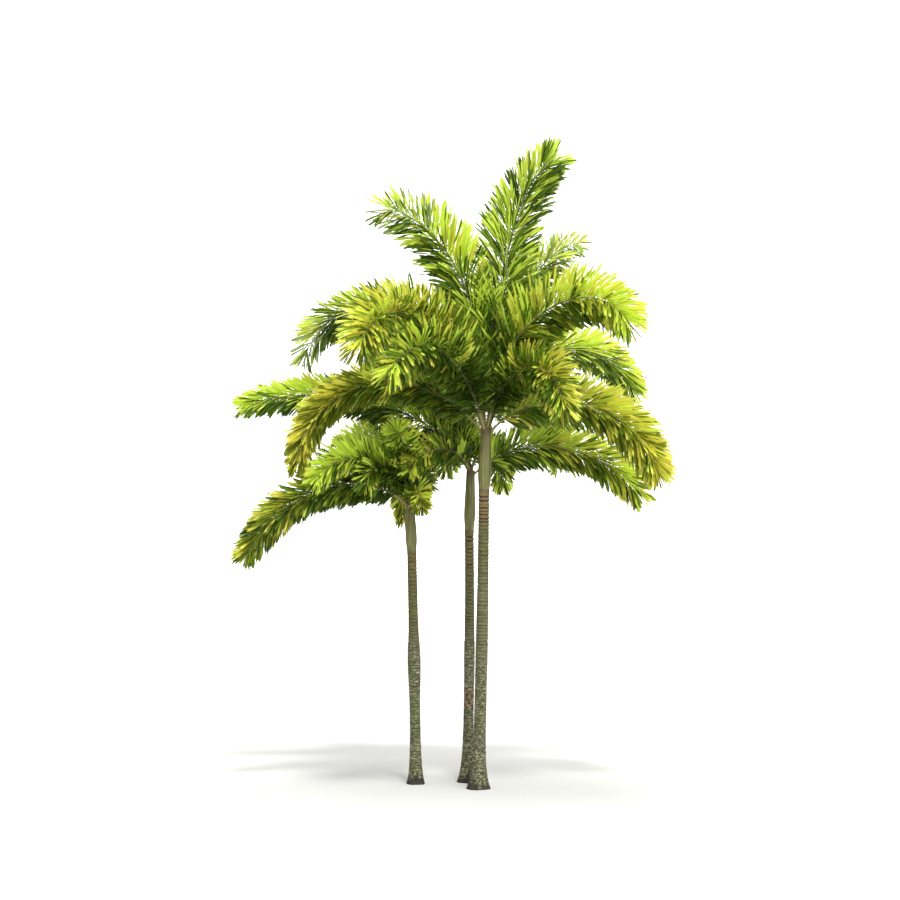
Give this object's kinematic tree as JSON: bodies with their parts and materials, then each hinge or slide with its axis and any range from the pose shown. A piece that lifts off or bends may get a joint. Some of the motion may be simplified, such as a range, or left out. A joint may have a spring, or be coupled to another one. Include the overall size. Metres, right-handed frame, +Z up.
{
  "type": "foxtail palm clump",
  "caption": "Clump of foxtail palms on slender ringed trunks, with green crownshafts and arching bushy fronds.",
  "frame": {"origin": "centre of the tall stem's flat cut at ground level", "axes": "+Z up, +X to the right and +Y away as the clump is seen from its front"},
  "size_m": [4.5069, 4.0475, 6.4442],
  "materials": {
    "trunk": "weathered grey-green bark with close leaf-scar rings and pale lichen",
    "crownshaft": "smooth waxy olive-green leaf sheath",
    "frond": "matt lime-green leaflets on a pale green rib"
  },
  "bodies": {
    "root": {"tall_trunk": "trunk", "tall_crownshaft": "crownshaft", "middle_trunk": "trunk", "middle_crownshaft": "crownshaft", "short_trunk": "trunk", "short_crownshaft": "crownshaft", "tall_frond_01_base": "frond", "tall_frond_01_tip": "frond", "tall_frond_02_base": "frond", "tall_frond_02_tip": "frond", "tall_frond_03_base": "frond", "tall_frond_03_tip": "frond", "tall_frond_04_base": "frond", "tall_frond_04_tip": "frond", "tall_frond_05_base": "frond", "tall_frond_05_tip": "frond", "tall_frond_06_base": "frond", "tall_frond_06_tip": "frond", "tall_frond_07_base": "frond", "tall_frond_07_tip": "frond", "tall_frond_08_base": "frond", "tall_frond_08_tip": "frond", "tall_frond_09_base": "frond", "tall_frond_09_tip": "frond", "tall_frond_10_base": "frond", "tall_frond_10_tip": "frond", "tall_frond_11_base": "frond", "tall_frond_11_tip": "frond", "tall_frond_12_base": "frond", "tall_frond_12_tip": "frond", "tall_frond_13_base": "frond", "tall_frond_13_tip": "frond", "middle_frond_01_base": "frond", "middle_frond_01_tip": "frond", "middle_frond_02_base": "frond", "middle_frond_02_tip": "frond", "middle_frond_03_base": "frond", "middle_frond_03_tip": "frond", "middle_frond_04_base": "frond", "middle_frond_04_tip": "frond", "middle_frond_05_base": "frond", "middle_frond_05_tip": "frond", "middle_frond_06_base": "frond", "middle_frond_06_tip": "frond", "short_frond_01_base": "frond", "short_frond_01_tip": "frond", "short_frond_02_base": "frond", "short_frond_02_tip": "frond", "short_frond_03_base": "frond", "short_frond_03_tip": "frond", "short_frond_04_base": "frond", "short_frond_04_tip": "frond", "short_frond_05_base": "frond", "short_frond_05_tip": "frond", "short_frond_06_base": "frond", "short_frond_06_tip": "frond", "short_frond_07_base": "frond", "short_frond_07_tip": "frond", "short_frond_08_base": "frond", "short_frond_08_tip": "frond"}
  },
  "joints": []
}
